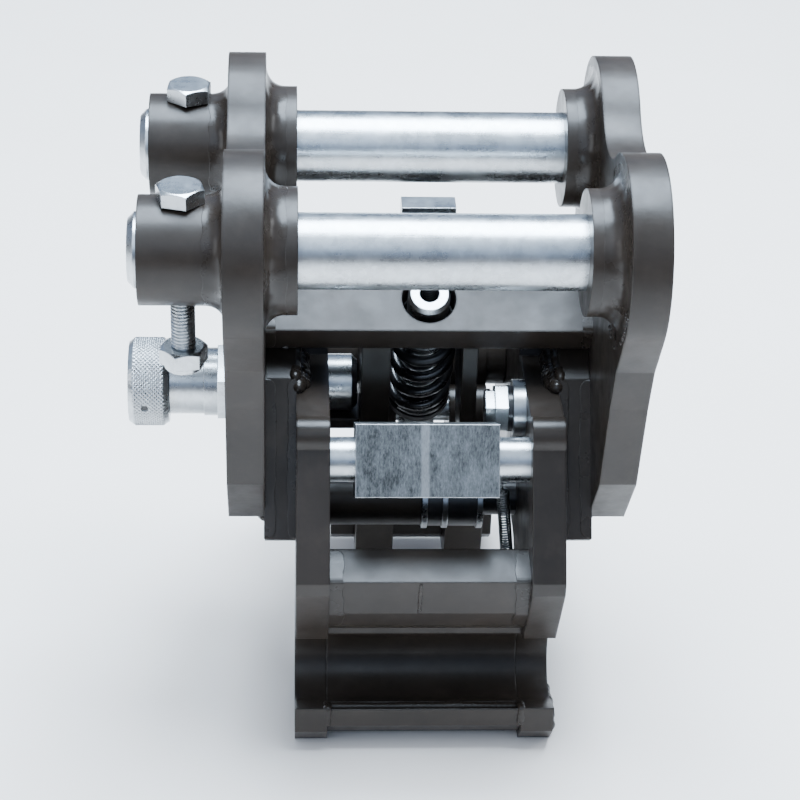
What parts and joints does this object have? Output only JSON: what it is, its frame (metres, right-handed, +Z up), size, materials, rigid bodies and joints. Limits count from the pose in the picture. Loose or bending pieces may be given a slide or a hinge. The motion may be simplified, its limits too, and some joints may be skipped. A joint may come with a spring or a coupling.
{
  "type": "quick coupler",
  "caption": "Spring-locked quick coupler for a mini excavator: ear plates with stick pins, fixed front hook, sprung rear hook, lock plunger and safety catch.",
  "frame": {"origin": "middle of the front stick pin's axis, halfway between the ear plates", "axes": "+X along the pins to the right, +Y to the rear stick pin, +Z up"},
  "size_m": [0.2133, 0.209, 0.276],
  "materials": {
    "frame_paint": "semi-gloss",
    "zinc_plate": "satin",
    "zinc_cut": "satin",
    "black_steel": "semi-gloss"
  },
  "bodies": {
    "frame": {"ear_left": "frame_paint", "ear_right": "frame_paint", "outer_boss_front": "frame_paint", "outer_boss_rear": "frame_paint", "inner_boss_front_left": "frame_paint", "inner_boss_front_right": "frame_paint", "inner_boss_rear_left": "frame_paint", "inner_boss_rear_right": "frame_paint", "stick_pin_front": "zinc_plate", "stick_pin_rear": "zinc_plate", "pin_bolts": "zinc_plate", "pin_nuts": "zinc_plate", "spacer_left": "frame_paint", "spacer_right": "frame_paint", "hook_plate_left": "frame_paint", "hook_plate_right": "frame_paint", "upper_lip_bar": "frame_paint", "seat_liner": "frame_paint", "lower_lip_bar": "frame_paint", "deck_plate": "frame_paint", "guide_rib_left": "frame_paint", "guide_rib_right": "frame_paint", "stay_shaft": "black_steel", "stay_sleeve": "frame_paint", "stay_washers": "zinc_plate", "stay_block": "black_steel", "pivot_shaft": "zinc_plate", "pivot_rings": "black_steel", "catch_pin": "zinc_plate", "anchor_stud": "zinc_plate", "anchor_washer": "zinc_plate", "anchor_ring": "black_steel", "anchor_nut": "zinc_plate", "spring_hook_stud": "zinc_plate", "plunger_flange": "zinc_plate", "plunger_neck": "zinc_plate", "plunger_sleeve": "zinc_plate", "plunger_shelf": "frame_paint", "plunger_spring": "black_steel", "main_spring": "black_steel", "catch_spring": "black_steel"},
    "rear_hook": {"hook_arm_left": "frame_paint", "hook_arm_right": "frame_paint", "jaw_bar": "frame_paint", "hook_hub": "frame_paint", "release_lever": "zinc_plate", "link_pin": "zinc_plate", "link_clips": "black_steel"},
    "rod": {"spring_rod": "zinc_plate", "rod_collar": "black_steel"},
    "lock_plunger": {"plunger": "zinc_plate", "plunger_knob": "zinc_plate", "knob_pin": "black_steel"},
    "safety_catch": {"catch_block": "zinc_cut", "catch_peg": "zinc_plate"}
  },
  "joints": [
    {"name": "rear_hook_pivot", "type": "hinge", "parent": "frame", "child": "rear_hook", "pos_m": [0, 0.137, -0.12624], "axis": [-1, 0, 0], "range_deg": [0, 20], "stiffness_Nm_per_rad": 15, "springref_deg": -38.39},
    {"name": "rod_slide", "type": "slide", "parent": "frame", "child": "rod", "axis": [0, -0.5446, 0.8387], "range_m": [0, 0.0092], "deforming": ["main_spring"]},
    {"name": "plunger_slide", "type": "slide", "parent": "frame", "child": "lock_plunger", "axis": [-1, 0, 0], "range_m": [0, 0.013], "stiffness_N_per_m": 900, "springref_m": -0.012, "deforming": ["plunger_spring"]},
    {"name": "catch_pivot", "type": "hinge", "parent": "frame", "child": "safety_catch", "pos_m": [0, 0.018, -0.108], "axis": [1, 0, 0], "range_deg": [0, 40], "stiffness_Nm_per_rad": 0.4, "springref_deg": -28.65, "deforming": ["catch_spring"]}
  ],
  "couplings": [
    {"joint": "rod_slide", "follows": "rear_hook_pivot", "m_per_rad": 0.025868}
  ]
}
